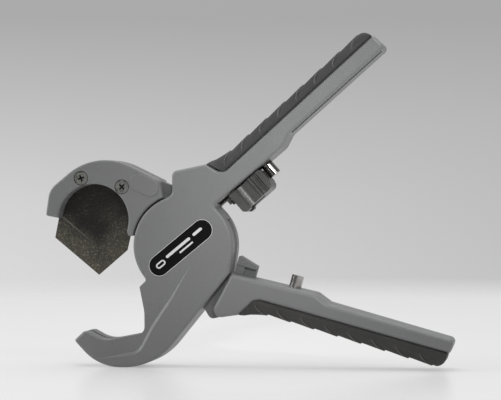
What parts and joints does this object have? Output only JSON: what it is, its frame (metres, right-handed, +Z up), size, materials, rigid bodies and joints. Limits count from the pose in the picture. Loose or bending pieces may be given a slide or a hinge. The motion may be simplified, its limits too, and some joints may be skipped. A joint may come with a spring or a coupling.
{
  "type": "pipe cutter",
  "caption": "Two-handled cutter for plastic pipe: a hub with a hook jaw, a pivoting blade holder, rubber grips and a thumb latch.",
  "frame": {"origin": "under the middle of the tool, on the surface it stands on", "axes": "+Z up, +X from the blade towards the handles, -Y towards the viewer of the nameplate"},
  "size_m": [0.2114, 0.023, 0.1716],
  "materials": {
    "casting": "satin powder coat",
    "rubber": "matt moulded rubber",
    "label": "semi-gloss",
    "steel": "turned steel",
    "dark_steel": "black oxide",
    "blade_steel": "ground, coated",
    "core_steel": "satin powder coat",
    "bronze": "plain",
    "latch": "semi-gloss"
  },
  "bodies": {
    "frame": {"front_body_shell": "casting", "rear_body_shell": "casting", "upper_grip": "rubber", "nameplate": "label", "pivot_bolt": "steel", "pivot_nut": "dark_steel", "body_screws": "dark_steel", "upper_stop_stud": "steel", "latch_leaf_spring": "steel", "torsion_spring": "dark_steel"},
    "lever": {"lever_core": "core_steel", "pivot_bush": "bronze", "thrust_washers": "bronze", "spring_anchor_pin": "steel", "lower_handle_front_shell": "casting", "lower_handle_rear_shell": "casting", "lower_grip": "rubber", "handle_screws": "dark_steel", "lower_stop_stud": "steel", "blade": "blade_steel", "blade_cheek_front": "casting", "blade_cheek_rear": "casting", "blade_screws": "dark_steel", "blade_nuts": "dark_steel", "cheek_dowels": "steel"},
    "latch": {"latch_thumb_slide": "latch", "latch_slide_plate": "steel", "latch_screw": "dark_steel"}
  },
  "joints": [
    {"name": "lever_hinge", "type": "hinge", "parent": "frame", "child": "lever", "pos_m": [-0.03294, 0, 0.0629], "axis": [0, -1, 0], "range_deg": [0, 52.5], "stiffness_Nm_per_rad": 1, "springref_deg": -57.3, "deforming": ["torsion_spring"]},
    {"name": "latch_slide", "type": "slide", "parent": "frame", "child": "latch", "axis": [-0.749, 0, -0.6626], "range_m": [0, 0.005]}
  ]
}
